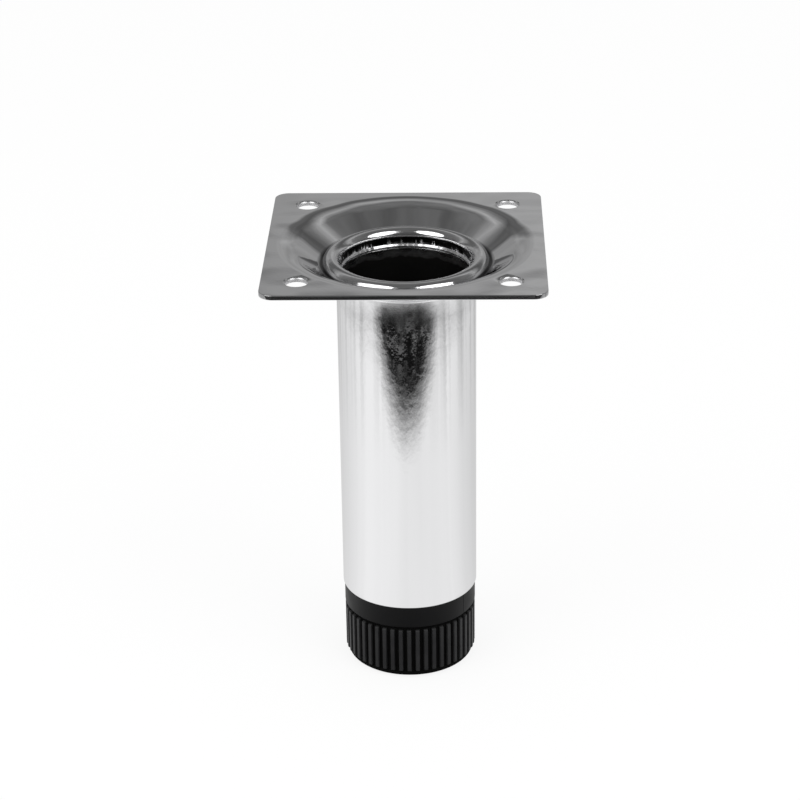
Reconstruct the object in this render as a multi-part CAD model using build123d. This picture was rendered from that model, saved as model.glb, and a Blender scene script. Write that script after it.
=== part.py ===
from build123d import *
import os
from math import atan2, cos, radians, sin, tan

# Cabinet leg: a pressed plate, a chromed tube, a moulded insert and an adjusting foot.
# Millimetres. The leg's axis is Z, the floor is z = 0, and the foot is screwed right in.

# Whole leg
leg_height = 99.0

# Mounting plate, one pressing of sheet steel
plate_side = 59.0
plate_thickness = 1.0
plate_corner_radius = 3.0
screw_edge_distance = 7.5
screw_hole_diameter = 4.5
dish_depth = 4.6
dish_slope_width = 6.6
dish_bend_radius = 1.5
dish_floor_margin = 0.6
plate_hole_clearance = 0.05

# Leg tube, with a curl over the plate and a locking bead under it
tube_diameter = 30.0
tube_wall = 0.9
curl_radius = 1.9
curl_band_count = 5
bead_height = 1.4
bead_width = 2.0
bead_band_count = 2

# Tube insert, moulded
collar_height = 5.0
collar_inset = 0.3
collar_edge_chamfer = 0.4
shank_length = 18.0
shank_clearance = 0.3
shank_wall = 1.8
crush_rib_count = 6
crush_rib_width = 1.2
crush_rib_clearance = 0.02
crush_rib_end_gap = 1.5
boss_wall = 1.9
insert_web_count = 6
insert_web_thickness = 1.4
nut_roof = 4.0

# Threaded pieces, with the thread itself left smooth at its crest
thread_diameter = 8.0
thread_clearance = 0.05
spindle_passage_clearance = 0.3
nut_across_flats = 13.0
nut_height = 6.5
nut_side_clearance = 0.05
nut_recess = 0.2
foot_travel = 15.0
spindle_spare_length = 1.5

# Foot knob, moulded round the lower end of the spindle
knob_height = 12.3
knob_gap = 0.5
knob_inset = 0.05
knob_rib_count = 48
knob_rib_foot_width = 1.2
knob_rib_crest_width = 0.7
knob_rib_depth = 0.65
knob_rib_bottom = 1.3
knob_rib_top_gap = 0.25
knob_base_chamfer = 0.7
knob_wall = 2.0
knob_floor = 2.8
knob_web_count = 6
knob_web_thickness = 1.5
knob_web_drop = 1.5
hub_wall = 2.0

# Heights, from the floor up
knob_top = knob_height
collar_bottom = knob_top + knob_gap
tube_end = collar_bottom + collar_height
shank_top = tube_end + shank_length
nut_bottom = collar_bottom + nut_recess
nut_top = nut_bottom + nut_height
cavity_floor = nut_top + nut_roof
spindle_bottom = knob_floor + thread_clearance
spindle_top = nut_top + foot_travel + spindle_spare_length
plate_top = leg_height
dish_floor = plate_top - dish_depth
dish_underside = dish_floor - plate_thickness

# Radii, from the axis out
tube_radius = tube_diameter / 2
tube_inner_radius = tube_radius - tube_wall
curl_centre_radius = tube_inner_radius + curl_radius
curl_outer_radius = curl_centre_radius + curl_radius
plate_hole_radius = tube_radius + plate_hole_clearance
dish_floor_radius = curl_outer_radius + dish_floor_margin
dish_rim_radius = dish_floor_radius + dish_slope_width
collar_radius = tube_radius - collar_inset
shank_radius = tube_inner_radius - shank_clearance
crush_rib_radius = tube_inner_radius - crush_rib_clearance
thread_radius = thread_diameter / 2
tapped_radius = thread_radius + thread_clearance
passage_radius = thread_radius + spindle_passage_clearance
boss_radius = passage_radius + boss_wall
knob_crest_radius = collar_radius - knob_inset
knob_root_radius = knob_crest_radius - knob_rib_depth
hub_radius = tapped_radius + hub_wall


def at(radius, height):
    """A point of a half section, given by its radius and height."""
    return (radius, 0, height)


def outline(*points):
    """A half section with straight sides."""
    return make_face(Polyline(*points, close=True))


def bands(centre_radius, centre_height, across, up, start, end, count):
    """Points along an elliptic arc of a half section, for a round form made of a few cones."""
    turns = [radians(start + (end - start) * i / count) for i in range(count + 1)]
    return [at(centre_radius + across * cos(turn), centre_height + up * sin(turn)) for turn in turns]


def eased(section, point, length):
    """The section with the corner at this point taken off by a flat."""
    return chamfer(section.vertices().sort_by_distance(point)[0], length)


def raised(sketch, bottom, top):
    """A flat sketch, made into a block from one height to another."""
    return extrude(Pos(0, 0, bottom) * sketch, top - bottom)


def spokes(count, length, thickness):
    """Bars from the axis out to this length, evenly turned."""
    bar = Pos(length / 2, 0) * Rectangle(length, thickness)
    return Sketch() + [Rot(0, 0, i * 360 / count) * bar for i in range(count)]


def mounting_plate():
    # The sheet keeps its thickness on the slope of the dish, so the lower corners shift outwards.
    slope = atan2(dish_depth, dish_slope_width)
    shift = plate_thickness * tan(slope / 2)
    reach = plate_side
    rim = at(dish_rim_radius, plate_top)
    floor = at(dish_floor_radius, dish_floor)
    section = outline(
        at(reach, plate_top),
        rim,
        floor,
        at(plate_hole_radius, dish_floor),
        at(plate_hole_radius, dish_underside),
        at(dish_floor_radius + shift, dish_underside),
        at(dish_rim_radius + shift, plate_top - plate_thickness),
        at(reach, plate_top - plate_thickness),
    )
    # Each bend is eased over the length that its radius takes up.
    floor_ease = dish_bend_radius * tan(slope / 2)
    section = eased(section, floor, floor_ease)
    section = eased(section, rim, floor_ease + shift)
    blank = raised(RectangleRounded(plate_side, plate_side, plate_corner_radius), 0, 2 * plate_top)
    plate = revolve(section, Axis.Z) & blank
    spacing = plate_side - 2 * screw_edge_distance
    punch = raised(Circle(screw_hole_diameter / 2), 0, 2 * plate_top)
    return plate - [place * punch for place in GridLocations(spacing, spacing, 2, 2)]


def leg_tube():
    # The rim is curled outwards until its edge stands on the floor of the dish.
    over_curl = bands(curl_centre_radius, dish_floor, curl_radius, curl_radius, 180, 0, curl_band_count)
    inner_curl = curl_radius - tube_wall
    under_curl = [
        at(curl_centre_radius + inner_curl, dish_floor),
        at(curl_centre_radius, dish_floor + inner_curl),
        at(tube_radius, dish_floor),
        at(tube_radius, dish_underside),
    ]
    # The bead is a fold of the wall pressed shut, flat on top where it grips the plate.
    bead = bands(tube_radius, dish_underside, bead_height, bead_width, 0, -90, bead_band_count)
    lower_end = [at(tube_radius, tube_end), at(tube_inner_radius, tube_end)]
    return revolve(outline(*over_curl, *under_curl, *bead, *lower_end), Axis.Z)


def tube_insert():
    section = outline(
        at(0, collar_bottom),
        at(collar_radius - collar_edge_chamfer, collar_bottom),
        at(collar_radius, collar_bottom + collar_edge_chamfer),
        at(collar_radius, tube_end),
        at(shank_radius, tube_end),
        at(shank_radius, shank_top),
        at(0, shank_top),
    )
    body = revolve(section, Axis.Z)
    # Crush ribs along the shank hold it in the tube.
    ribs = spokes(crush_rib_count, 2 * tube_radius, crush_rib_width)
    ribs = ribs & (Circle(crush_rib_radius) - Circle(shank_radius - shank_wall / 2))
    body += raised(ribs, tube_end + crush_rib_end_gap, shank_top - crush_rib_end_gap)
    # The shank is cored out from above, round a boss on webs.
    webs = spokes(insert_web_count, tube_radius, insert_web_thickness)
    core = Circle(shank_radius - shank_wall) - Circle(boss_radius) - webs
    body -= raised(core, cavity_floor, shank_top)
    # The spindle passes through the boss, and the nut sits in a pocket under it.
    body -= raised(Circle(passage_radius), collar_bottom, shank_top)
    pocket = RegularPolygon(nut_across_flats / 2 + nut_side_clearance, 6, major_radius=False)
    return body - raised(pocket, collar_bottom, nut_top)


def insert_nut():
    hexagon = RegularPolygon(nut_across_flats / 2, 6, major_radius=False)
    return raised(hexagon - Circle(tapped_radius), nut_bottom, nut_top)


def foot_spindle():
    return raised(Circle(thread_radius), spindle_bottom, spindle_top)


def knob_rib():
    """One upright rib, with draft on its flanks and ends, rooted a little inside the knob."""
    rib_top = knob_top - knob_rib_top_gap
    root_radius = knob_root_radius - knob_wall / 2
    draft = (knob_rib_foot_width - knob_rib_crest_width) / 2 / knob_rib_depth
    spread = draft * (knob_crest_radius - root_radius)
    half_crest = knob_rib_crest_width / 2
    plan = make_face(
        Polyline(
            (root_radius, -half_crest - spread),
            (knob_crest_radius, -half_crest),
            (knob_crest_radius, half_crest),
            (root_radius, half_crest + spread),
            close=True,
        )
    )
    foot_draft = draft * knob_rib_depth
    profile = outline(
        at(root_radius, knob_rib_bottom + foot_draft - spread),
        at(knob_crest_radius, knob_rib_bottom + foot_draft),
        at(knob_crest_radius, rib_top - foot_draft),
        at(root_radius, rib_top - foot_draft + spread),
    )
    return raised(plan, 0, knob_top) & extrude(profile, knob_rib_foot_width * 2, both=True)


def foot_knob():
    section = outline(
        at(0, 0),
        at(knob_root_radius - knob_base_chamfer, 0),
        at(knob_root_radius, knob_base_chamfer),
        at(knob_root_radius, knob_top),
        at(0, knob_top),
    )
    rib = knob_rib()
    turns = [i * 360 / knob_rib_count for i in range(knob_rib_count)]
    knob = revolve(section, Axis.Z) + [Rot(0, 0, turn) * rib for turn in turns]
    # It is cored out from above, round a hub on webs.
    well = Circle(knob_root_radius - knob_wall) - Circle(hub_radius)
    webs = spokes(knob_web_count, knob_root_radius, knob_web_thickness)
    web_top = knob_top - knob_web_drop
    knob -= raised(well - webs, knob_floor, web_top)
    knob -= raised(well, web_top, knob_top)
    # The hub is moulded round the spindle.
    return knob - raised(Circle(tapped_radius), knob_floor, knob_top)


pieces = {
    "mounting_plate": mounting_plate(),
    "leg_tube": leg_tube(),
    "tube_insert": tube_insert(),
    "insert_nut": insert_nut(),
    "foot_spindle": foot_spindle(),
    "foot_knob": foot_knob(),
}

os.makedirs("parts", exist_ok=True)
for name, piece in pieces.items():
    export_step(piece, f"parts/{name}.step")
    print(name, round(piece.volume, 1), "cubic mm")
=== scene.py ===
# %% [markdown]
# A chromed cabinet leg with a black levelling foot
#
# The leg is a steel tube, curled at its top into a pressed square plate, with a moulded foot that screws
# out at the bottom. Its solids are already measured and jointed. This lesson gives each of them the finer
# shape and the finish that the eye expects, without moving or resizing anything.

# %% Load the solids
from cmath import phase
from math import asin, atan2, cos, degrees, pi, radians, sin, sqrt, tan

import bmesh
import bpy
from mathutils import Matrix, Vector


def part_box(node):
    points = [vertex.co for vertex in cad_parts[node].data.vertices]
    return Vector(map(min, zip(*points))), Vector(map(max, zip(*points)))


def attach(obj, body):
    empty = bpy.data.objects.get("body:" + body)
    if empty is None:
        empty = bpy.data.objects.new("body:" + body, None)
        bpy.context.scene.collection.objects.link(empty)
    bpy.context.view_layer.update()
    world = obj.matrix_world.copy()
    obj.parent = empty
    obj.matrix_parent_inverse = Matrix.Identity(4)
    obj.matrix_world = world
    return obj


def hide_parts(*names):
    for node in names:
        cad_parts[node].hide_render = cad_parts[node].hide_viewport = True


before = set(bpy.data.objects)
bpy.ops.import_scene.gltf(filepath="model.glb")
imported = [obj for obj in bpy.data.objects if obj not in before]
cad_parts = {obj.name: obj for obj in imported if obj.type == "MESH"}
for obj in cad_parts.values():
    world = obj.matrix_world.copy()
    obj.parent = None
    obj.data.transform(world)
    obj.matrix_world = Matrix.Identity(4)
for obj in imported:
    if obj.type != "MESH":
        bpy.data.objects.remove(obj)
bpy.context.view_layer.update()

print("solids:", sorted(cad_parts))

# %% [markdown]
# Sizes
#
# Blender works in metres here, and a leg like this is thought of in millimetres. Whatever the solids can
# tell is read from their boxes, so a changed solid carries its finer shape with it. Only sizes that a box
# can't show, such as the wall of the tube, are written down.

# %% Sizes in millimetres
MM = 0.001


def span(node):
    """Lowest and highest corner of a solid, in millimetres."""
    low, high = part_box(node)
    return low / MM, high / MM


plate_low, plate_high = span("mounting_plate")
tube_low, tube_high = span("leg_tube")
insert_low, insert_high = span("tube_insert")
nut_low, nut_high = span("insert_nut")
stud_low, stud_high = span("foot_spindle")
knob_low, knob_high = span("foot_knob")

plate_top = plate_high.z
plate_half = plate_high.x
plate_thickness = 1.0
dish_floor = plate_low.z + plate_thickness
dish_depth = plate_top - dish_floor

tube_wall = 0.9
curl_radius = 1.9
curl_outer = tube_high.x
tube_inner = curl_outer - 2 * curl_radius
tube_radius = tube_inner + tube_wall
tube_end = tube_low.z
print("tube", round(2 * tube_radius, 2), "mm across, leg", round(plate_top, 2), "mm tall")

# %% [markdown]
# Rounding an outline
#
# Sheet metal bends round a radius and plastic leaves its mould with soft edges, so hardly any corner of
# this leg is sharp. A Bevel modifier could round the edges of a finished mesh, but it guesses at every edge.
# Here each corner of an outline carries its own rounding, and the outline is rounded before it becomes a
# mesh. Complex numbers make this short: multiplying by one turns a point round the middle of the arc.

# %% Rounding the corners of an outline
ARC_STEPS = 8


def rounded(corners):
    """A closed outline from corners (radius, height, rounding), with an arc at each rounded corner."""
    points = [complex(radius, height) for radius, height, rounding in corners]
    outline = []
    for i, here in enumerate(points):
        rounding = corners[i][2]
        if rounding == 0:
            outline.append(here)
            continue
        back = points[i - 1] - here
        ahead = points[(i + 1) % len(points)] - here
        back /= abs(back)
        ahead /= abs(ahead)
        half = abs(phase(ahead / back)) / 2
        middle = here + (back + ahead) / abs(back + ahead) * rounding / sin(half)
        first = here + back * rounding / tan(half) - middle
        last = here + ahead * rounding / tan(half) - middle
        outline += [middle + first * (last / first) ** (k / ARC_STEPS) for k in range(ARC_STEPS + 1)]
    return [(point.real, point.imag) for point in outline]


soft_square = rounded([(0, 0, 0.2), (1, 0, 0.2), (1, 1, 0.2), (0, 1, 0.2)])
print("a square with four rounded corners has", len(soft_square), "points")

# %% [markdown]
# Turning an outline
#
# Nearly every piece of this leg was rolled, turned or moulded round one axis. A Screw modifier would also
# turn an outline, but working out the points ourselves lets the same tool make a square plate, a ribbed
# foot or a thread, by changing the radius on the way round. Points that fall together, as on the axis, are
# then welded, so that every piece is closed.

# %% Closed solids and turned pieces
WELD = 1e-8


def solid(name, corners, faces):
    """An object from corners in millimetres, with doubled corners joined and its faces turned outwards."""
    mesh = bpy.data.meshes.new(name)
    mesh.from_pydata([Vector(corner) * MM for corner in corners], [], faces)
    shape = bmesh.new()
    shape.from_mesh(mesh)
    bmesh.ops.remove_doubles(shape, verts=shape.verts, dist=WELD)
    bmesh.ops.recalc_face_normals(shape, faces=shape.faces)
    shape.to_mesh(mesh)
    shape.free()
    piece = bpy.data.objects.new(name, mesh)
    bpy.context.scene.collection.objects.link(piece)
    return piece


def even_turn(count):
    """This many angles, evenly round the axis."""
    return [2 * pi * i / count for i in range(count)]


def turned(name, outline, angles, reshape=None):
    """The closed outline carried round the axis. reshape(radius, height, angle) may change each radius."""
    rows = len(outline)
    corners = []
    for angle in angles:
        for radius, height in outline:
            reach = reshape(radius, height, angle) if reshape else radius
            corners.append((reach * cos(angle), reach * sin(angle), height))
    faces = []
    for i in range(len(angles)):
        here = i * rows
        there = (i + 1) % len(angles) * rows
        for j in range(rows):
            k = (j + 1) % rows
            faces.append((here + j, here + k, there + k, there + j))
    return solid(name, corners, faces)


print("four even turns, in degrees:", [round(degrees(angle)) for angle in even_turn(4)])

# %% [markdown]
# Cutting and fitting
#
# Holes and pockets are cut as in the workshop: a tool of the hole's shape is taken away from the piece. The
# exact Boolean solver keeps the mesh closed. A fitted piece is shaded smooth, with sharp edges only where
# two faces meet steeply, and weighted normals keep its large faces true, which a mirror finish needs.

# %% Cutting a piece and putting it in place
CREASE = radians(38)


def cut(piece, tools, operation="DIFFERENCE"):
    """Takes the tools away from the piece, or joins or crosses them with it, and removes the tools."""
    for tool in tools:
        step = piece.modifiers.new(tool.name, "BOOLEAN")
        step.object = tool
        step.operation = operation
        step.solver = "EXACT"
    seen = piece.evaluated_get(bpy.context.evaluated_depsgraph_get())
    mesh = bpy.data.meshes.new_from_object(seen)
    piece.modifiers.clear()
    piece.data = mesh
    for tool in tools:
        bpy.data.objects.remove(tool)


def fit(piece, material, body, node):
    """Shades a finished piece, gives it its material, and lets it stand for its solid."""
    mesh = piece.data
    mesh.shade_smooth()
    mesh.set_sharp_from_angle(angle=CREASE)
    even = piece.modifiers.new("even_shading", "WEIGHTED_NORMAL")
    even.keep_sharp = True
    mesh.materials.clear()
    mesh.materials.append(material)
    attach(piece, body)
    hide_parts(node)
    print(piece.name, "has", len(mesh.polygons), "faces and rides on", body)


print("edges steeper than", round(degrees(CREASE)), "degrees stay sharp")

# %% [markdown]
# Colours and nodes
#
# Colours are easiest to judge as the hex values that a colour picker shows, but shaders reckon in linear
# light, so one function turns the first into the second. A second function adds any node with its settings
# and links, so that a finish reads as a list of what it is made of.

# %% Colours, nodes and new finishes
def linear(colour):
    """Linear RGBA of an sRGB hex colour."""
    parts = [int(colour[i : i + 2], 16) / 255 for i in (0, 2, 4)]
    return (*[p / 12.92 if p <= 0.04045 else ((p + 0.055) / 1.055) ** 2.4 for p in parts], 1.0)


def add(tree, kind, inputs=None, **settings):
    """Adds a node with these settings, and gives each of these inputs a value or a link."""
    made = tree.nodes.new(kind)
    for name, value in settings.items():
        setattr(made, name, value)
    for name, value in (inputs or {}).items():
        if isinstance(value, bpy.types.NodeSocket):
            tree.links.new(value, made.inputs[name])
        else:
            made.inputs[name].default_value = value
    return made


def surface(name):
    """A new material, with its tree, its shader and the place on the object in metres."""
    material = bpy.data.materials.new(name)
    material.use_nodes = True
    tree = material.node_tree
    place = add(tree, "ShaderNodeTexCoord").outputs["Object"]
    return material, tree, tree.nodes["Principled BSDF"], place


print("mid grey in linear light:", round(linear("808080")[0], 3))

# %% [markdown]
# Chrome plating
#
# Plate and tube are cold-rolled steel under bright nickel and a skin of chromium. The eye reads chrome by
# what it mirrors, so the finish is a metal with almost no roughness, hazier in some places than in others.
# What tells it from a perfect mirror is the steel below. Pressed sheet is slightly wavy over a centimetre or
# so. A drawn tube has a grain, twice as long as it is wide, which frays the edge of every dark reflection.
# The real grain is a few tenths of a millimetre wide, and is drawn coarser so that it shows. All of this is
# far too shallow for the mesh, so it is bump.

# %% Bright chrome on steel
CHROME = "ECECED"
CLEAREST = 0.02
HAZIEST = 0.05
HAZE_WIDTH = 6.0
WAVE_WIDTH = 13.0
GRAIN_WIDTH = 0.9
GRAIN_STRETCH = 0.5
NOISE_LOW = 0.3    # nearly all of a noise lies between these two
NOISE_HIGH = 0.7


def bright_chrome(name, wave_depth, grain_depth):
    """Chrome plating over wavy and grained steel, with depths in millimetres."""
    material, tree, shader, place = surface(name)
    shader.inputs["Metallic"].default_value = 1.0
    shader.inputs["Base Color"].default_value = linear(CHROME)
    scale = 1 / (HAZE_WIDTH * MM)
    haze = add(tree, "ShaderNodeTexNoise", {"Vector": place, "Scale": scale, "Detail": 3.0}).outputs["Fac"]
    limits = {"From Min": NOISE_LOW, "From Max": NOISE_HIGH, "To Min": CLEAREST, "To Max": HAZIEST}
    rough = add(tree, "ShaderNodeMapRange", {"Value": haze, **limits})
    tree.links.new(rough.outputs["Result"], shader.inputs["Roughness"])
    scale = 1 / (WAVE_WIDTH * MM)
    waves = add(tree, "ShaderNodeTexNoise", {"Vector": place, "Scale": scale, "Detail": 1.0})
    drawn = add(tree, "ShaderNodeVectorMath", {0: place, 1: (1, 1, GRAIN_STRETCH)}, operation="MULTIPLY")
    scale = 1 / (GRAIN_WIDTH * MM)
    grain = add(tree, "ShaderNodeTexNoise", {"Vector": drawn.outputs[0], "Scale": scale, "Detail": 2.0})
    sheet = add(tree, "ShaderNodeBump", {"Height": waves.outputs["Fac"], "Distance": wave_depth * MM})
    skin = add(
        tree,
        "ShaderNodeBump",
        {"Height": grain.outputs["Fac"], "Normal": sheet.outputs["Normal"], "Distance": grain_depth * MM},
    )
    tree.links.new(skin.outputs["Normal"], shader.inputs["Normal"])
    return material, tree, shader, place


print("chrome waves over", WAVE_WIDTH, "mm, with a grain of", GRAIN_WIDTH, "mm")

# %% [markdown]
# Chrome on the plate
#
# The narrow gap beside the tube's curl gets painted shade: the bottom of the dish is coloured nearly black
# there. A second material would end in a hard line. A mask by the distance from the axis lets the painted
# shade fade into bright chrome within a millimetre.

# %% Painted shade round the curl
GAP_PAINTED_SHADE = "0A0A0B"
gap_shade_start = curl_outer + 0.4
gap_shade_end = curl_outer + 1.2


def off_axis(tree, place):
    """Distance of a place from the leg's axis."""
    flat = add(tree, "ShaderNodeVectorMath", {0: place, 1: (1, 1, 0)}, operation="MULTIPLY")
    return add(tree, "ShaderNodeVectorMath", {0: flat.outputs[0]}, operation="LENGTH").outputs["Value"]


plate_chrome, tree, shader, place = bright_chrome(
    "bright_chrome_on_pressed_steel", wave_depth=0.4, grain_depth=0.004
)
gap_shade_mask = add(
    tree,
    "ShaderNodeMapRange",
    {"Value": off_axis(tree, place), "From Min": gap_shade_start * MM, "From Max": gap_shade_end * MM},
)
# Painted shade: the chrome is coloured nearly black in the gap beside the curl, and bright beyond it.
gap_shade_ramp = add(tree, "ShaderNodeValToRGB", {"Fac": gap_shade_mask.outputs["Result"]})
gap_shade_ramp.color_ramp.elements[0].color = linear(GAP_PAINTED_SHADE)
gap_shade_ramp.color_ramp.elements[1].color = linear(CHROME)
tree.links.new(gap_shade_ramp.outputs["Color"], shader.inputs["Base Color"])
print("made", plate_chrome.name, "with a seam", round(gap_shade_end - gap_shade_start, 2), "mm wide")

# %% [markdown]
# The mounting plate
#
# A press cuts the square blank and sinks a round dish into it. The dish bends over generous radii, and the
# sheared edges stay nearly sharp. Subdividing a coarse cage would make it soft everywhere. Instead the sheet
# is one closed outline, so that its bends are true arcs and it keeps its thickness on the slope. A narrow
# band inside the edge keeps the shading of the edge off the large flat.

# %% Outline of the pressed sheet
dish_margin = 0.6
dish_slope_width = 6.6
hole_clearance = 0.05
floor_bend = 1.5
rim_bend = 8.0
sheared_edge = 0.1
edge_band = 0.3

plate_under = plate_top - plate_thickness
plate_hole_radius = tube_radius + hole_clearance
dish_floor_radius = curl_outer + dish_margin
dish_rim_radius = dish_floor_radius + dish_slope_width
band_start = plate_half - edge_band
slope = atan2(dish_depth, dish_slope_width)
shift = plate_thickness * tan(slope / 2)
plate_outline = rounded(
    [
        (plate_hole_radius, dish_floor, sheared_edge),
        (dish_floor_radius, dish_floor, floor_bend),
        (dish_rim_radius, plate_top, rim_bend),
        (band_start, plate_top, 0),
        (plate_half, plate_top, sheared_edge),
        (plate_half, plate_under, sheared_edge),
        (band_start, plate_under, 0),
        (dish_rim_radius + shift, plate_under, rim_bend - plate_thickness),
        (dish_floor_radius + shift, plate_low.z, floor_bend + plate_thickness),
        (plate_hole_radius, plate_low.z, sheared_edge),
    ]
)
print("dish is", round(dish_depth, 2), "mm deep, with a slope of", round(degrees(slope)), "degrees")

# %% [markdown]
# From a round sheet to a square one
#
# The outline is carried round the axis, and only its outer end is pulled out to the rounded square. So the
# dish stays round and the flat stays flat, without a cut through either. The many sides keep the mirrored
# rings of the dish smooth.

# %% Pressing of the plate
PLATE_SIDES = 720
plate_corner = 3.0
touch = 0.001    # a hair, for telling points of an outline apart


def square_reach(angle):
    """How far the rounded square reaches from the axis in this direction."""
    across, along = sorted((abs(cos(angle)), abs(sin(angle))))
    inset = plate_half - plate_corner
    if plate_half / along * across <= inset:
        return plate_half / along
    return inset * (along + across) + sqrt(plate_corner**2 - (inset * (along - across)) ** 2)


def to_square(radius, height, angle):
    """Pulls the outer end of the sheet out to the rounded square."""
    return radius + square_reach(angle) - plate_half if radius > band_start - touch else radius


plate = turned("plate_pressing", plate_outline, even_turn(PLATE_SIDES), to_square)
print("plate is", round(plate.dimensions.x / MM, 2), "mm wide")

# %% [markdown]
# Screw holes
#
# A punch pulls the sheet down a little before it breaks through, so each hole has a rolled-in lip at the
# top. The punch is turned with that lip as a hollow round on its flank, and all four are taken away at once.

# %% Punching the screw holes
HOLE_SIDES = 64
screw_inset = 7.5
screw_hole_radius = 2.25
rolled_lip = 0.75
punch_margin = 0.04
overrun = 1.0    # how far a cutting tool runs past the piece

lip_top = plate_top + punch_margin
punch_outline = rounded(
    [
        (0, plate_under - overrun, 0),
        (screw_hole_radius, plate_under - overrun, 0),
        (screw_hole_radius, lip_top, rolled_lip),
        (2 * screw_hole_radius, lip_top, 0),
        (2 * screw_hole_radius, lip_top + overrun, 0),
        (0, lip_top + overrun, 0),
    ]
)
screw_offset = plate_half - screw_inset
punches = []
for side_x in (-screw_offset, screw_offset):
    for side_y in (-screw_offset, screw_offset):
        punch = turned("punch", punch_outline, even_turn(HOLE_SIDES))
        punch.data.transform(Matrix.Translation(Vector((side_x, side_y, 0)) * MM))
        punches.append(punch)
cut(plate, punches)
print("screw holes are", round(2 * screw_offset, 2), "mm apart")

# %% [markdown]
# Torn walls of the holes
#
# Below its lip, the wall of a punched hole is torn and stays dull under the plating, so that it doesn't
# sparkle. The four holes lie alike in the four corners, so one mask serves them all: a place without its
# signs is measured from one hole.

# %% Dull walls in the screw holes
torn_roughness = 0.6


def so_far(shader, name):
    """What is linked to an input of the shader until now."""
    return shader.inputs[name].links[0].from_socket


aside = add(tree, "ShaderNodeVectorMath", {0: place}, operation="ABSOLUTE").outputs[0]
corner = Vector((screw_offset, screw_offset, 0)) * MM
from_hole = add(tree, "ShaderNodeVectorMath", {0: aside, 1: corner}, operation="SUBTRACT").outputs[0]
torn = add(
    tree,
    "ShaderNodeMapRange",
    {
        "Value": off_axis(tree, from_hole),
        "From Min": (screw_hole_radius + rolled_lip / 2) * MM,
        "From Max": screw_hole_radius * MM,
        "To Min": so_far(shader, "Roughness"),
        "To Max": torn_roughness,
    },
)
tree.links.new(torn.outputs["Result"], shader.inputs["Roughness"])
fit(plate, plate_chrome, "leg", "mounting_plate")

# %% [markdown]
# The leg tube
#
# The tube goes through the hole in the dish. Above, its rim is rolled outwards into a curl that stands on
# the dish. Below, the wall is upset into a bead, so plate and tube grip each other like an eyelet. The bead
# is a fold of the wall pressed shut, and leaves a lip inside. All of it is one wall, so it is drawn as one
# outline, up the inside and down the outside.

# %% Outline of the tube
bead_height = 1.4
bead_width = 2.0
bead_edge = 0.4
belly_reach = 0.9 * bead_height
belly_drop = 0.55 * bead_width
belly_bend = 0.6
bead_foot_bend = 0.7
lip_height = 0.5
lip_edge = 0.15
lip_bend = 0.3
fold_edge = 0.1
cut_edge = 0.2
flare = 0.1
flare_length = 3.0
flare_bend = 85.0

curl_top = dish_floor + curl_radius
curl_edge = 0.15
curl_hollow = curl_radius - tube_wall
hollow_bend = 0.8 * curl_hollow
bead_top = dish_floor - plate_thickness
bead_bottom = bead_top - bead_width
lip_middle = bead_top - bead_width / 2
tube_outline = rounded(
    [
        (tube_inner, tube_end, cut_edge),
        (tube_inner, lip_middle - lip_height, fold_edge),
        (tube_inner + lip_height, lip_middle - lip_height / 2, fold_edge),
        (tube_inner - lip_height, lip_middle, lip_edge),
        (tube_inner, lip_middle + lip_height, lip_bend),
        (tube_inner, curl_top, curl_radius - touch),
        (curl_outer, curl_top, curl_radius - touch),
        (curl_outer, dish_floor, curl_edge),
        (curl_outer - tube_wall, dish_floor, curl_edge),
        (curl_outer - tube_wall, dish_floor + curl_hollow, hollow_bend),
        (tube_radius, dish_floor + curl_hollow, hollow_bend),
        (tube_radius, bead_top, fold_edge),
        (tube_radius + bead_height, bead_top, bead_edge),
        (tube_radius + belly_reach, bead_top - belly_drop, belly_bend),
        (tube_radius + flare, bead_bottom, bead_foot_bend),
        (tube_radius, bead_bottom - flare_length, flare_bend),
        (tube_radius, tube_end, cut_edge),
    ]
)
print("curl is", round(curl_top - dish_floor, 2), "mm high, bead", bead_height, "mm")

# %% [markdown]
# The ragged lip
#
# The fold doesn't close evenly, so the lip inside it is ragged. Displacing it by a texture would need a much
# finer mesh everywhere. Here only the radius of the lip wavers on its way round, by a few waves of different
# lengths laid over each other, which never repeat visibly.

# %% Rolling of the tube
TUBE_SIDES = 400
lip_waver = 0.07
lip_waves = (7, 17, 37, 61)    # waves in one turn


def ragged_lip(radius, height, angle):
    """Lets the lip of the fold waver on its way round."""
    if radius > tube_inner - touch:
        return radius
    waver = sum(sin(waves * angle + waves) for waves in lip_waves) / len(lip_waves)
    return radius + lip_waver * waver


tube = turned("tube_curled", tube_outline, even_turn(TUBE_SIDES), ragged_lip)
print("tube is", round(tube.dimensions.z / MM, 2), "mm long")

# %% [markdown]
# Chrome on the tube
#
# Where the wall was worked into bead and curl, the steel roughened and the chrome over it is hazy. Just
# under the bead the haze is strongest, and it clears within some millimetres. The chrome's own haze is kept,
# and only its upper limit follows the height on the tube.

# %% Haze where the tube was worked
curl_haze = 0.16
bead_haze = 0.36
worked_length = 8.0

tube_chrome, tree, shader, place = bright_chrome(
    "bright_chrome_on_drawn_tube", wave_depth=0.05, grain_depth=0.016
)
up = add(tree, "ShaderNodeSeparateXYZ", {0: place}).outputs["Z"]
below = add(tree, "ShaderNodeMath", {0: up, 1: bead_top * MM}, operation="LESS_THAN").outputs[0]
inputs = {0: below, 1: bead_haze - curl_haze, 2: curl_haze}
hazier = add(tree, "ShaderNodeMath", inputs, operation="MULTIPLY_ADD").outputs[0]
worked = add(
    tree,
    "ShaderNodeMapRange",
    {
        "Value": up,
        "From Min": (bead_top - worked_length) * MM,
        "From Max": bead_bottom * MM,
        "To Min": HAZIEST,
        "To Max": hazier,
    },
)
haze = so_far(shader, "Roughness").node
tree.links.new(worked.outputs["Result"], haze.inputs["To Max"])
print("made", tube_chrome.name, "with haze down to", worked_length, "mm under the plate")

# %% [markdown]
# The bare bore
#
# The plating current hardly reaches into a tube, so below the fold the bore goes over into bare steel, dark
# with drawing oil. A second material on the inner faces would end in a hard line. A mask from the place on
# the tube, smudged by noise, lets the plating fade out instead.

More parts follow.
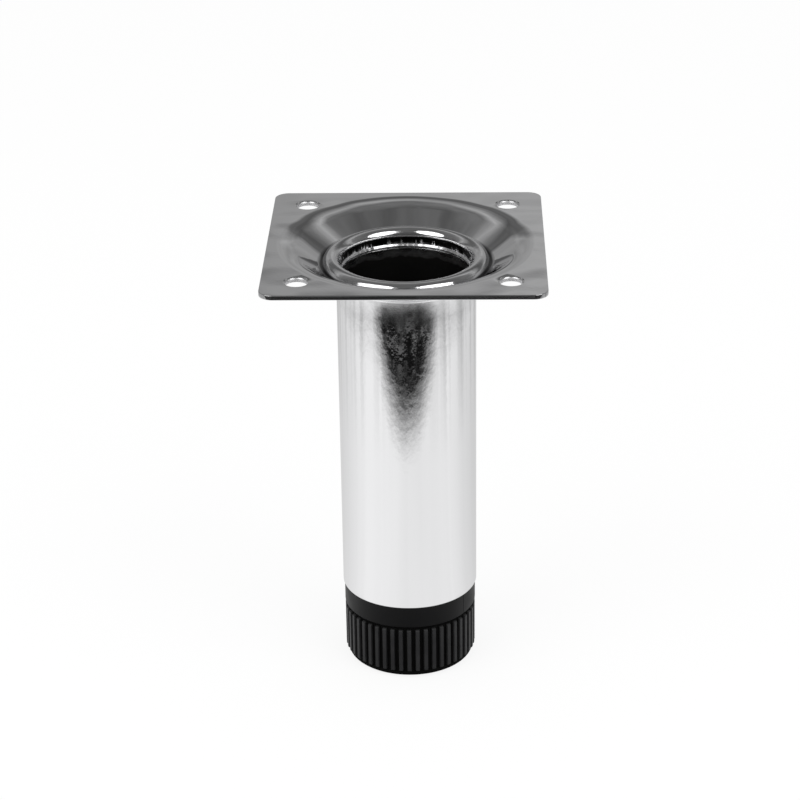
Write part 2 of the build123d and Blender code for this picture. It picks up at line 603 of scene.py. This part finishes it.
# %% Plating that fades out in the bore
OILED_STEEL = "3A3938"
oiled_roughness = 0.5
smudge_width = 4.0
smudge_reach = 3.0
fade_half = 1.0

wall_middle = tube_radius - tube_wall / 2
inputs = {0: off_axis(tree, place), 1: wall_middle * MM}
inside = add(tree, "ShaderNodeMath", inputs, operation="LESS_THAN").outputs[0]
scale = 1 / (smudge_width * MM)
smudge = add(tree, "ShaderNodeTexNoise", {"Vector": place, "Scale": scale, "Detail": 4.0})
inputs = {0: smudge.outputs["Fac"], 1: smudge_reach * MM, 2: up}
fade = add(tree, "ShaderNodeMath", inputs, operation="MULTIPLY_ADD").outputs[0]
bare = add(
    tree,
    "ShaderNodeMapRange",
    {
        "Value": fade,
        "From Min": (lip_middle + fade_half) * MM,
        "From Max": (lip_middle - fade_half) * MM,
        "To Max": inside,
    },
).outputs["Result"]
# Input 0 of a Mix node is its share, inputs 6 and 7 and output 2 are its colours.
inputs = {0: bare, 6: linear(CHROME), 7: linear(OILED_STEEL)}
steel = add(tree, "ShaderNodeMix", inputs, data_type="RGBA")
tree.links.new(steel.outputs[2], shader.inputs["Base Color"])
inputs = {"Value": bare, "To Min": so_far(shader, "Roughness"), "To Max": oiled_roughness}
oiled = add(tree, "ShaderNodeMapRange", inputs)
tree.links.new(oiled.outputs["Result"], shader.inputs["Roughness"])
fit(tube, tube_chrome, "leg", "leg_tube")

# %% [markdown]
# Black plastic
#
# Insert and foot are injection moulded in black polypropylene. The mould was eroded, not polished, so the
# skin is satin with a fine grain, and lamps show on it only as a soft grey sheen. Where the melt flowed, its
# tone and its gloss change a little over some millimetres. The real grain is finer than a pixel, so it is
# drawn at about twice its width.

# %% Moulded polypropylene
POLYPROPYLENE_IOR = 1.49
FLOW_WIDTH = 4.0
SATIN_CLEAREST = 0.38
SATIN_DULLEST = 0.48
MOULD_GRAIN = 0.25
MOULD_GRAIN_DEPTH = 0.006


def moulded_black(name, darker, lighter, gloss):
    """Black moulded plastic with the fine grain of an eroded mould."""
    material, tree, shader, place = surface(name)
    shader.inputs["IOR"].default_value = POLYPROPYLENE_IOR
    shader.inputs["Specular IOR Level"].default_value = gloss
    scale = 1 / (FLOW_WIDTH * MM)
    flow = add(tree, "ShaderNodeTexNoise", {"Vector": place, "Scale": scale, "Detail": 4.0}).outputs["Fac"]
    tone = add(tree, "ShaderNodeValToRGB", {"Fac": flow})
    tone.color_ramp.elements[0].position = 0.35
    tone.color_ramp.elements[0].color = linear(darker)
    tone.color_ramp.elements[1].position = 0.7
    tone.color_ramp.elements[1].color = linear(lighter)
    tree.links.new(tone.outputs["Color"], shader.inputs["Base Color"])
    limits = {
        "From Min": NOISE_LOW,
        "From Max": NOISE_HIGH,
        "To Min": SATIN_CLEAREST,
        "To Max": SATIN_DULLEST,
    }
    rough = add(tree, "ShaderNodeMapRange", {"Value": flow, **limits})
    tree.links.new(rough.outputs["Result"], shader.inputs["Roughness"])
    scale = 1 / (MOULD_GRAIN * MM)
    grain = add(tree, "ShaderNodeTexNoise", {"Vector": place, "Scale": scale, "Detail": 2.0})
    inputs = {"Height": grain.outputs["Fac"], "Distance": MOULD_GRAIN_DEPTH * MM}
    bump = add(tree, "ShaderNodeBump", inputs)
    tree.links.new(bump.outputs["Normal"], shader.inputs["Normal"])
    return material, tree, shader, place


black_plastic = moulded_black("moulded_black_polypropylene", "0B0B0C", "101011", gloss=0.17)[0]
print("made", black_plastic.name, "with a grain of", MOULD_GRAIN, "mm")

# %% [markdown]
# Collar and shank of the insert
#
# The collar is the smooth black band under the tube, and the shank above it is pressed into the tube. It
# came out of a mould of two halves, which leave a hair-fine line on both sides. The line is a ridge in the
# turned outline, with a few more angles close to it so that it stays thin.

# %% Turned body of the insert
INSERT_SIDES = 239
collar_radius = insert_high.x
collar_bottom = insert_low.z
collar_edge = 0.12
shank_top = insert_high.z
shank_clearance = 0.3
shank_radius = tube_inner - shank_clearance
shank_lead = 0.6
mould_line = radians(-34)
line_half = 0.012    # in radians
line_height = 0.07


def with_mould_line(radius, height, angle):
    """Raises the two lines where the halves of the mould met."""
    if radius < collar_radius - touch:
        return radius
    aside = abs((angle - mould_line + pi / 2) % pi - pi / 2)
    return radius + line_height * max(1 - aside / line_half, 0)


insert_outline = rounded(
    [
        (0, collar_bottom, 0),
        (collar_radius, collar_bottom, collar_edge),
        (collar_radius, tube_end, collar_edge),
        (shank_radius, tube_end, 0),
        (shank_radius, shank_top, shank_lead),
        (0, shank_top, 0),
    ]
)
line_angles = [mould_line + half + aside for half in (pi, 2 * pi) for aside in (-line_half, 0, line_half)]
insert_angles = sorted(even_turn(INSERT_SIDES) + line_angles)
insert = turned("insert_moulding", insert_outline, insert_angles, with_mould_line)
print("collar is", round(tube_end - collar_bottom, 2), "mm high")

# %% [markdown]
# Upright blocks
#
# Ribs, hollows, pockets and bores of a moulding all run along the way that the mould opens. Each is an
# upright block over a flat outline. Extruding a face in edit mode gives the same block, but a function can
# place a dozen of them.

# %% Blocks over a flat outline
def prism(name, outline, bottom, top):
    """An upright block over a flat outline of (x, y) points."""
    count = len(outline)
    corners = [(x, y, bottom) for x, y in outline] + [(x, y, top) for x, y in outline]
    sides = [(i, (i + 1) % count, count + (i + 1) % count, count + i) for i in range(count)]
    ends = [tuple(reversed(range(count))), tuple(range(count, 2 * count))]
    return solid(name, corners, sides + ends)


def circle(radius, count=HOLE_SIDES):
    """Flat outline of a round bore."""
    return [(radius * cos(angle), radius * sin(angle)) for angle in even_turn(count)]


def hexagon(across_flats):
    """Flat outline of a hexagon with two corners on the X axis."""
    return circle(across_flats / 2 / cos(pi / 6), 6)


print("a hexagon 10 mm over its flats is", round(2 * hexagon(10)[0][0], 2), "mm over its corners")

# %% [markdown]
# Crush ribs
#
# Slim ribs on the shank are squeezed as it is pressed into the tube, and hold it there. One outline, wider
# at its root than at its crest, serves for all of them. Joined to the body by a Boolean, they become one
# moulding with it.

# %% Crush ribs on the shank
web_count = 6
web_turn = 2 * pi / web_count
crush_gap = 0.02
crush_root = 0.9
crush_end_gap = 1.5
crush_foot_half = 0.6
crush_crest_half = 0.35

rib_root = shank_radius - crush_root
rib_crest = tube_inner - crush_gap
rib_plan = [
    (rib_root, -crush_foot_half),
    (rib_crest, -crush_crest_half),
    (rib_crest, crush_crest_half),
    (rib_root, crush_foot_half),
]
crush_ribs = []
for i in range(web_count):
    rib = prism("crush_rib", rib_plan, tube_end + crush_end_gap, shank_top - crush_end_gap)
    rib.data.transform(Matrix.Rotation(i * web_turn, 4, "Z"))
    crush_ribs.append(rib)
cut(insert, crush_ribs, "UNION")
print(web_count, "crush ribs reach", round(rib_crest, 2), "mm from the axis")

# %% [markdown]
# Inside of the insert
#
# The shank is cored out between webs, so that no thick lump of plastic can sink as it cools. A boss in the
# middle lets the stud through, and a hexagon pocket under it takes the nut. All of these hollows are taken
# away together.

# %% Coring and nut pocket
CORE_STEPS = 16
stud_radius = stud_high.x
nut_flats = 2 * nut_high.y
passage_clearance = 0.3
boss_wall = 1.9
shank_wall = 1.8
insert_web = 1.4
nut_roof = 4.0
pocket_clearance = 0.1

passage_radius = stud_radius + passage_clearance
boss_radius = passage_radius + boss_wall
core_radius = shank_radius - shank_wall
cavity_floor = nut_high.z + nut_roof


def cored(inner, outer, web, first, last):
    """Flat outline of the hollow between two webs, from one direction to the next."""
    near = asin(web / 2 / inner)
    far = asin(web / 2 / outer)
    shares = [i / CORE_STEPS for i in range(CORE_STEPS + 1)]
    inside = [first + near + (last - first - 2 * near) * share for share in shares]
    outside = [last - far - (last - first - 2 * far) * share for share in shares]
    points = [(inner * cos(angle), inner * sin(angle)) for angle in inside]
    return points + [(outer * cos(angle), outer * sin(angle)) for angle in outside]


hollows = []
for i in range(web_count):
    plan = cored(boss_radius, core_radius, insert_web, i * web_turn, (i + 1) * web_turn)
    hollows.append(prism("hollow", plan, cavity_floor, shank_top + overrun))
pocket = prism("pocket", hexagon(nut_flats + pocket_clearance), collar_bottom - overrun, nut_high.z)
passage = prism("passage", circle(passage_radius), collar_bottom - overrun, shank_top + overrun)
cut(insert, hollows + [pocket, passage])
fit(insert, black_plastic, "leg", "tube_insert")

# %% [markdown]
# Ribs of the foot
#
# The foot is the part that fingers turn, so it has upright ribs all round. Each is a slim rounded ridge with
# draft on its flanks, so that the moulding lets go of the mould. A separate ridge placed 48 times would
# leave hard joints at its root. Letting the radius swell and sink as the outline goes round gives one clean
# skin.

# %% Swelling of the ribs
knob_top = knob_high.z
crest_radius = knob_high.x
rib_count = 48
rib_pitch = 2 * pi / rib_count
rib_depth = 0.8
rib_bottom = 1.15
rib_top_gap = 0.25
rib_ramp = 0.4
crest_half = 0.36
foot_half = 0.6
rib_top = knob_top - rib_top_gap
root_radius = crest_radius - rib_depth


def ease(value, low, high):
    """Smooth step from 0 at low to 1 at high."""
    share = min(max((value - low) / (high - low), 0), 1)
    return share * share * (3 - 2 * share)


def with_ribs(radius, height, angle):
    """Adds the height of a rib to a point of the outer skin."""
    if radius < root_radius - touch:
        return radius
    aside = abs((angle + rib_pitch / 2) % rib_pitch - rib_pitch / 2) * root_radius
    ridge = 1 - ease(aside, crest_half, foot_half)
    length = ease(height, rib_bottom, rib_bottom + rib_ramp) - ease(height, rib_top - rib_ramp, rib_top)
    return radius + rib_depth * ridge * length


print(rib_count, "ribs, one every", round(rib_pitch * root_radius, 2), "mm")

# %% [markdown]
# Skin of the foot
#
# Under the ribs runs a plain base ring, a little wider than their roots. The skin is turned with rows close
# together where the ribs begin and end, and angles close together on their flanks, so that points are spent
# only where the skin bends.

# %% Turned skin of the foot
base_edge = 0.5
base_step = 0.2
step_edge = 0.1
top_edge = 0.15
ramp_rows = 6
flank_steps = 5

ramp = [rib_ramp * i / ramp_rows for i in range(ramp_rows + 1)]
skin_rows = [rib_bottom + rise for rise in ramp] + [rib_top - rib_ramp + rise for rise in ramp]
base_radius = root_radius + base_step
knob_outline = rounded(
    [
        (0, knob_low.z, 0),
        (base_radius, knob_low.z, base_edge),
        (base_radius, rib_bottom - step_edge, step_edge),
    ]
    + [(root_radius, height, 0) for height in skin_rows]
    + [(root_radius, knob_top, top_edge), (0, knob_top, 0)]
)
flank = [crest_half + (foot_half - crest_half) * i / flank_steps for i in range(flank_steps + 1)]
asides = [-aside / root_radius for aside in flank[::-1]] + [0] + [aside / root_radius for aside in flank]
rib_angles = [i * rib_pitch + aside for i in range(rib_count) for aside in asides + [rib_pitch / 2]]
knob = turned("foot_ribbed", knob_outline, rib_angles, with_ribs)
print("foot is turned over", len(rib_angles), "angles")

# %% [markdown]
# Hollows of the foot
#
# The foot is a cup, with a hub in its middle for the stud and webs between hub and wall, which show when it
# is screwed out. The webs stay below the rim, so the hollows are six wells and a ring above them, all cut
# from above.

# %% Cup, hub and webs
RING_SIDES = 96
stud_fit = 0.05
hub_wall = 2.0
skin_wall = 1.85
knob_web = 1.5
web_drop = 1.5

knob_floor = stud_low.z - stud_fit
bore_radius = stud_radius + stud_fit
hub_radius = bore_radius + hub_wall
well_radius = root_radius - skin_wall
web_top = knob_top - web_drop
hollows = []
for i in range(web_count):
    plan = cored(hub_radius, well_radius, knob_web, i * web_turn, (i + 1) * web_turn)
    hollows.append(prism("well", plan, knob_floor, knob_top + overrun))
ring_outline = [
    (hub_radius, web_top),
    (well_radius, web_top),
    (well_radius, knob_top + overrun),
    (hub_radius, knob_top + overrun),
]
ring = turned("ring", ring_outline, even_turn(RING_SIDES))
bore = prism("bore", circle(bore_radius), knob_floor, knob_top + overrun)
cut(knob, hollows + [ring, bore])
print("cup is", round(knob_top - knob_floor, 2), "mm deep")

# %% [markdown]
# Painted sheen on the crests and painted shade in dull grooves
#
# The crests of the ribs are coloured dark grey as a painted sheen, and the grooves between them are coloured
# black as painted shade, and are dull. That is what makes the ribs readable. It is the same plastic, so the
# same finish is used, and a mask by the distance from the axis, which tells crest from groove, changes its
# tone and its roughness.

# %% Finish of the ribs
GROOVE_PAINTED_SHADE = "0A0A0A"
groove_roughness = 1.0
crest_blend = 0.2

# The crest tones 2A2A2B and 343435 are a painted sheen, lighter than the plain black plastic.
ribbed_plastic, tree, shader, place = moulded_black("moulded_black_ribs", "2A2A2B", "343435", gloss=0.2)
crests = add(
    tree,
    "ShaderNodeMapRange",
    {
        "Value": off_axis(tree, place),
        "From Min": (root_radius + crest_blend) * MM,
        "From Max": (crest_radius - crest_blend) * MM,
    },
).outputs["Result"]
inputs = {"Value": crests, "To Min": groove_roughness, "To Max": so_far(shader, "Roughness")}
dull = add(tree, "ShaderNodeMapRange", inputs)
tree.links.new(dull.outputs["Result"], shader.inputs["Roughness"])
# Painted shade: the grooves are coloured black.
inputs = {0: crests, 6: linear(GROOVE_PAINTED_SHADE), 7: so_far(shader, "Base Color")}
crest_sheen_and_groove_shade = add(tree, "ShaderNodeMix", inputs, data_type="RGBA")
tree.links.new(crest_sheen_and_groove_shade.outputs[2], shader.inputs["Base Color"])
fit(knob, ribbed_plastic, "foot", "foot_knob")

# %% [markdown]
# Zinc plating
#
# The nut and the threaded stud are steel, zinc plated in a barrel, which looks cloudy and slightly blue. The
# clouds are a millimetre or two wide and change tone, gloss and height together, so one noise drives all
# three. They show only when the foot is screwed out, or from below, but a reader may take the leg apart.

# %% Clear zinc on steel
cloud_width = 1.5
cloud_depth = 0.01
zinc_clearest = 0.28
zinc_dullest = 0.42

zinc, tree, shader, place = surface("clear_zinc_on_steel")
shader.inputs["Metallic"].default_value = 1.0
scale = 1 / (cloud_width * MM)
cloud = add(tree, "ShaderNodeTexNoise", {"Vector": place, "Scale": scale, "Detail": 4.0}).outputs["Fac"]
tone = add(tree, "ShaderNodeValToRGB", {"Fac": cloud})
tone.color_ramp.elements[0].position = NOISE_LOW
tone.color_ramp.elements[0].color = linear("A9AEB4")
tone.color_ramp.elements[1].position = NOISE_HIGH
tone.color_ramp.elements[1].color = linear("C6CACE")
tree.links.new(tone.outputs["Color"], shader.inputs["Base Color"])
limits = {"From Min": NOISE_LOW, "From Max": NOISE_HIGH, "To Min": zinc_clearest, "To Max": zinc_dullest}
rough = add(tree, "ShaderNodeMapRange", {"Value": cloud, **limits})
tree.links.new(rough.outputs["Result"], shader.inputs["Roughness"])
bump = add(tree, "ShaderNodeBump", {"Height": cloud, "Distance": cloud_depth * MM})
tree.links.new(bump.outputs["Normal"], shader.inputs["Normal"])
print("made", zinc.name, "with clouds of", cloud_width, "mm")

# %% [markdown]
# The stud
#
# The stud has a rolled M8 thread with a pitch of 1.25 mm. A thread is a groove that climbs one pitch in each
# turn, so the radius at a place depends on its height and its angle together. That is one line in the
# turning tool, where a Screw modifier would need a separate profile and leave open ends.

# %% Threaded stud
STUD_SIDES = 72
thread_pitch = 1.25
thread_depth = 0.77
crest_share = 0.125
root_share = 0.25
rows_per_turn = 12
end_bevel = 0.8


def with_thread(radius, height, angle):
    """Sinks the groove of a right-handed thread into the stud, and bevels its ends."""
    if radius < stud_radius - touch:
        return radius
    turn = (height / thread_pitch - angle / (2 * pi)) % 1
    from_root = abs(2 * turn - 1)
    rise = min(max((from_root - root_share) / (1 - root_share - crest_share), 0), 1)
    from_end = min(stud_high.z - height, height - stud_low.z)
    return min(radius - thread_depth * (1 - rise), radius - end_bevel + from_end)


stud_length = stud_high.z - stud_low.z
stud_rows = round(stud_length / thread_pitch * rows_per_turn)
stud_heights = [stud_low.z + stud_length * i / stud_rows for i in range(stud_rows + 1)]
stud_outline = [(0, stud_low.z)] + [(stud_radius, height) for height in stud_heights] + [(0, stud_high.z)]
stud = turned("threaded_stud", stud_outline, even_turn(STUD_SIDES), with_thread)
fit(stud, zinc, "spindle", "foot_spindle")

# %% [markdown]
# The nut
#
# A pressed nut is a hexagon whose corners are turned off at 30 degrees, which leaves curved edges on its
# flats. Crossing a hexagon with a turned blank gives exactly those curves, without drawing any of them.

# %% Nut in its pocket
face_inset = 0.2
nut_corner = nut_flats / 2 / cos(pi / 6)
nut_bevel = (nut_corner - nut_flats / 2) * tan(radians(30))
nut_face = nut_flats / 2 - face_inset
nut = prism("hexagon_nut", hexagon(nut_flats), nut_low.z, nut_high.z)
blank_outline = [
    (bore_radius, nut_low.z),
    (nut_face, nut_low.z),
    (nut_corner + touch, nut_low.z + nut_bevel),
    (nut_corner + touch, nut_high.z - nut_bevel),
    (nut_face, nut_high.z),
    (bore_radius, nut_high.z),
]
cut(nut, [turned("nut_blank", blank_outline, even_turn(RING_SIDES))], "INTERSECT")
fit(nut, zinc, "leg", "insert_nut")

# %% [markdown]
# White paper
#
# The leg stands on white paper that fills the picture. Lamps alone would have to burn out the leg to make
# the paper white, so most of its white is its own glow, for rays that look at it. The rest is lit paper,
# which keeps the shadow of the leg. Sheets of the studio ride on the stud, so that the foot still stands on
# them when it is screwed out.

# %% Paper floor
room_radius = 3.0
paper_drop = 0.3
glow_share = 0.85


def stage_material(name):
    """A material for the studio, with an empty tree."""
    material = bpy.data.materials.new(name)
    material.use_nodes = True
    material.node_tree.nodes.clear()
    return material, material.node_tree


def stage_sheet(name, half, height, material):
    """A square sheet for the studio, given in metres, which stays under the foot."""
    mesh = bpy.data.meshes.new(name)
    corners = [(-half, -half, height), (half, -half, height), (half, half, height), (-half, half, height)]
    mesh.from_pydata(corners, [], [(0, 1, 2, 3)])
    mesh.materials.append(material)
    sheet = bpy.data.objects.new(name, mesh)
    bpy.context.scene.collection.objects.link(sheet)
    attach(sheet, "spindle")
    return sheet


def seen_directly(tree):
    """1 for rays from the camera, from mirrors and through glass, 0 for the light that falls on things."""
    ray = add(tree, "ShaderNodeLightPath").outputs
    seen = ray["Is Camera Ray"]
    for kind in ("Is Glossy Ray", "Is Transmission Ray"):
        seen = add(tree, "ShaderNodeMath", {0: seen, 1: ray[kind]}, operation="MAXIMUM").outputs[0]
    return seen


paper, tree = stage_material("white_paper")
lit = add(tree, "ShaderNodeBsdfDiffuse", {"Color": linear("F4F4F4")})
glow = add(tree, "ShaderNodeEmission", {"Color": linear("FFFFFF"), "Strength": seen_directly(tree)})
both = add(tree, "ShaderNodeMixShader", {"Fac": glow_share, 1: lit.outputs[0], 2: glow.outputs[0]})
add(tree, "ShaderNodeOutputMaterial", {"Surface": both.outputs[0]})
stage_sheet("paper_floor", room_radius, -paper_drop * MM, paper)
print("floor is", 2 * room_radius, "m wide")

# %% [markdown]
# What the chrome sees below
#
# Chrome shows its surroundings, so they matter as much as the finish. The tube looks down on the table it
# stands on. An environment picture could show one, but this table is a sheet just over the paper that only
# mirrors can see, and it stays right when the view turns. Its tones go by place: how far from the leg a spot
# lies, and in which direction.

# %% Places on the table
table, tree = stage_material("table_in_the_mirror")
metres = add(tree, "ShaderNodeTexCoord").outputs["Object"]
spot = add(tree, "ShaderNodeVectorMath", {0: metres, "Scale": 1 / MM}, operation="SCALE").outputs[0]
parts = add(tree, "ShaderNodeSeparateXYZ", {0: spot}).outputs
across = parts["X"]
along = parts["Y"]
away = off_axis(tree, spot)
forward = add(tree, "ShaderNodeMath", {0: along, 1: -1.0}, operation="MULTIPLY").outputs[0]
bearing = add(tree, "ShaderNodeMath", {0: across, 1: forward}, operation="ARCTAN2").outputs[0]
heading = add(tree, "ShaderNodeMath", {0: bearing}, operation="ABSOLUTE").outputs[0]
print("places on the table take", len(tree.nodes), "nodes")

# %% [markdown]
# Tones of the table
#
# Round the leg the table is bright. It is a little darker to the right, straight ahead and behind, darker
# far away, and dark close to the front of the foot, where the foot's shadow is painted into it. Things
# standing about give streaks that run along the tube. Each tone is a ramp over one measure, in millimetres
# or as an angle, and they are multiplied later.

# %% Ramps and streaks
streaks_per_radian = 3.2

# Each tone goes from low at start to high at end: measure, start, end, low, high, kind.
zones = {
    "far": (away, 170, 260, 1.0, 0.4, "SMOOTHSTEP"),
    "behind": (heading, radians(69), radians(140), 1.0, 0.74, "LINEAR"),
    "right": (across, -30, 30, 1.0, 0.94, "LINEAR"),
    "ahead": (heading, 0, radians(60), 0.955, 1.0, "LINEAR"),
    "foot_front": (heading, 0, radians(90), 0.05, 1.0, "LINEAR"),
    "foot_near": (away, 32, 44, 0.0, 1.0, "LINEAR"),
    "streak_depth": (away, 120, 230, 0.98, 0.6, "LINEAR"),
    "cloth_light": (away, 170, 230, 0.08, 0.35, "LINEAR"),
    "beyond": (away, 270, 800, 0.0, 0.6, "SMOOTHSTEP"),
}
tones = {}
for name, (value, start, end, low, high, kind) in zones.items():
    inputs = {"Value": value, "From Min": start, "From Max": end, "To Min": low, "To Max": high}
    tones[name] = add(tree, "ShaderNodeMapRange", inputs, interpolation_type=kind).outputs["Result"]

inputs = {"W": bearing, "Scale": streaks_per_radian, "Detail": 2.0}
clutter = add(tree, "ShaderNodeTexNoise", inputs, noise_dimensions="1D").outputs["Fac"]
inputs = {"Value": clutter, "From Min": 0.35, "From Max": 0.55, "To Min": tones["streak_depth"]}
streaks = add(tree, "ShaderNodeMapRange", inputs).outputs["Result"]
inputs = {0: tones["far"], 1: tones["behind"]}
duller = add(tree, "ShaderNodeMath", inputs, operation="MINIMUM").outputs[0]
# Painted shadow of the foot: foot_front and foot_near make the table dark close to its front.
inputs = {0: tones["foot_front"], 1: tones["foot_near"]}
shaded = add(tree, "ShaderNodeMath", inputs, operation="MAXIMUM").outputs[0]
print("mirror table has", len(tones), "tones")

# %% [markdown]
# A dark cloth in front
#
# The front of the table is covered by a dark, mottled cloth, which gives the dark wedge near the top of the
# tube. A round mirror squeezes what it shows, so the mottling is laid out as it lands on the tube: half as
# wide an angle as on the table, and about a third of the distance. Far out the table is light again, so that
# low views don't see a black tube.

# %% Cloth and finished table
blotch_width = 2.0
table_per_tube = 3.1
cloth_edge = -173
cloth_hem = -116
cloth_black = 0.008
table_drop = 0.1


def mirrored_only(thing):
    """Shows a thing of the studio in reflections, and nowhere else."""
    thing.visible_camera = False
    thing.visible_diffuse = False
    thing.visible_transmission = False
    thing.visible_volume_scatter = False
    thing.visible_shadow = False


polar = add(tree, "ShaderNodeCombineXYZ", {"X": bearing, "Y": away}).outputs[0]
squeeze = (tube_radius / 2, 1 / table_per_tube, 0)
on_tube = add(tree, "ShaderNodeVectorMath", {0: polar, 1: squeeze}, operation="MULTIPLY").outputs[0]
mottle = add(tree, "ShaderNodeTexNoise", {"Vector": on_tube, "Scale": 1 / blotch_width, "Detail": 3.0})
limits = {"From Min": 0.48, "From Max": 0.64, "To Min": cloth_black, "To Max": tones["cloth_light"]}
cloth = add(tree, "ShaderNodeMapRange", {"Value": mottle.outputs["Fac"], **limits}).outputs["Result"]
inputs = {"Value": along, "From Min": cloth_edge, "From Max": cloth_hem, "To Min": cloth}
tone = add(tree, "ShaderNodeMapRange", inputs, interpolation_type="SMOOTHSTEP").outputs["Result"]
for factor in (duller, tones["right"], tones["ahead"], streaks, shaded):
    tone = add(tree, "ShaderNodeMath", {0: tone, 1: factor}, operation="MULTIPLY").outputs[0]
tone = add(tree, "ShaderNodeMath", {0: tone, 1: tones["beyond"]}, operation="MAXIMUM").outputs[0]
shine = add(tree, "ShaderNodeEmission", {"Color": linear("FFFFFF"), "Strength": tone})
add(tree, "ShaderNodeOutputMaterial", {"Surface": shine.outputs[0]})
mirrored_only(stage_sheet("mirror_table", room_radius, -table_drop * MM, table))
print("cloth begins", -cloth_hem, "mm in front of the leg")

# %% [markdown]
# What the chrome sees above
#
# The plate looks up and back into the room. Its flat shows one small patch of a grey wall, and each bend
# sweeps over wall and ceiling within a millimetre or two, so bands of tone in the room become lines along
# the bends. The tone of the room goes over the top, from the wall behind to the wall in front.

# %% Tones of the room
patch_width = 625.0
patch_dark = 0.8
patch_light = 1.25

# Share of the way over the top, and the grey there.
walls = [
    (0.00, "8E8E8E"),
    (0.10, "949494"),
    (0.13, "9C9C9C"),
    (0.165, "606060"),
    (0.21, "5A5A5A"),
    (0.29, "A4A4A4"),
    (0.34, "707070"),
    (0.45, "606060"),
    (0.55, "606060"),
    (0.80, "505050"),
    (1.00, "383838"),
]
room, tree = stage_material("grey_room")
spot = add(tree, "ShaderNodeTexCoord").outputs["Object"]
parts = add(tree, "ShaderNodeSeparateXYZ", {0: spot}).outputs
over = add(tree, "ShaderNodeMath", {0: parts["Z"], 1: parts["Y"]}, operation="ARCTAN2").outputs[0]
share = add(tree, "ShaderNodeMapRange", {"Value": over, "From Max": pi}).outputs["Result"]
bands = add(tree, "ShaderNodeValToRGB", {"Fac": share})
stops = bands.color_ramp.elements
for position, colour in walls[1:-1]:
    stops.new(position).color = linear(colour)
for end in (0, -1):
    stops[end].position = walls[end][0]
    stops[end].color = linear(walls[end][1])
scale = 1 / (patch_width * MM)
patches = add(tree, "ShaderNodeTexNoise", {"Vector": spot, "Scale": scale, "Detail": 3.0}).outputs["Fac"]
limits = {"From Min": NOISE_LOW, "From Max": NOISE_HIGH, "To Min": patch_dark, "To Max": patch_light}
strength = add(tree, "ShaderNodeMapRange", {"Value": patches, **limits}).outputs["Result"]
wall = add(tree, "ShaderNodeEmission", {"Color": bands.outputs["Color"], "Strength": strength})
add(tree, "ShaderNodeOutputMaterial", {"Surface": wall.outputs[0]})
print("room has", len(stops), "tones from back to front")

# %% [markdown]
# The room itself
#
# The world could carry these tones too, but then they would also light the leg and show behind it. A sphere
# round the leg that only mirrors can see leaves the background white and the light plain.

# %% Sphere of the room
shell = bmesh.new()
bmesh.ops.create_uvsphere(shell, u_segments=48, v_segments=24, radius=room_radius)
mesh = bpy.data.meshes.new("grey_room")
shell.to_mesh(mesh)
shell.free()
mesh.materials.append(room)
sphere = bpy.data.objects.new("grey_room", mesh)
bpy.context.scene.collection.objects.link(sphere)
mirrored_only(sphere)
print("room is", 2 * room_radius, "m across")

# %% [markdown]
# Lamps
#
# Two oval softboxes hang left and right in front, with a gap between them where the camera is. They give the
# paired highlights on the curl and the sheen on both ends of the black collar. A lamp of a single point
# would give hard sparks instead, and a square one would show its corners in the chrome.

# %% Softboxes
softbox_aside = 0.7
softbox_ahead = 0.6
softbox_rise = 0.95
softbox_width = 0.95
softbox_height = 1.1
softbox_power = 5.0


def softbox(name, place):
    """An oval lamp at a place in metres, turned to the middle of the leg."""
    lamp = bpy.data.lights.new(name, "AREA")
    lamp.shape = "ELLIPSE"
    lamp.size = softbox_width
    lamp.size_y = softbox_height
    lamp.energy = softbox_power
    box = bpy.data.objects.new(name, lamp)
    box.location = place
    middle = Vector((0, 0, plate_top / 2 * MM))
    box.rotation_euler = (middle - box.location).to_track_quat("-Z", "Y").to_euler()
    bpy.context.scene.collection.objects.link(box)


softbox("softbox_left", (-softbox_aside, -softbox_ahead, softbox_rise))
softbox("softbox_right", (softbox_aside, -softbox_ahead, softbox_rise))

# %% [markdown]
# World
#
# The world adds a plain even light from all round, as white walls do. It lights the leg a little less
# strongly than it looks, so that whatever looks at it sees white and the leg isn't washed out.

# %% White world
fill_light = 0.8

world = bpy.data.worlds.new("white_studio")
bpy.context.scene.world = world
world.use_nodes = True
tree = world.node_tree
sky = tree.nodes["Background"]
sky.inputs["Color"].default_value = linear("FFFFFF")
level = add(tree, "ShaderNodeMapRange", {"Value": seen_directly(tree), "To Min": fill_light})
tree.links.new(level.outputs["Result"], sky.inputs["Strength"])
print("world lights with", fill_light)

# %% [markdown]
# Camera
#
# The photograph looks down on the leg at about 25 degrees, with a long lens from half a metre away. Place,
# direction and lens were solved from the edges of the plate and the outlines of the tube in the picture.

# %% Camera at the photograph's place
camera_place = Vector((11.81, -497.98, 297.12))
camera_down = radians(25.29)
camera_turn = radians(1.552)
camera_roll = radians(-0.811)
lens = bpy.data.cameras.new("photo_lens")
lens.sensor_width = 36.0
lens.lens = 113.27
lens.clip_start = 0.01
camera = bpy.data.objects.new("photo_camera", lens)
camera.matrix_world = (
    Matrix.Translation(camera_place * MM)
    @ Matrix.Rotation(camera_turn, 4, "Z")
    @ Matrix.Rotation(pi / 2 - camera_down, 4, "X")
    @ Matrix.Rotation(camera_roll, 4, "Z")
)
bpy.context.scene.collection.objects.link(camera)
bpy.context.scene.camera = camera
bpy.context.scene.view_settings.view_transform = "Standard"
print("camera looks along", [round(c, 3) for c in camera.matrix_world.to_3x3() @ Vector((0, 0, -1))])
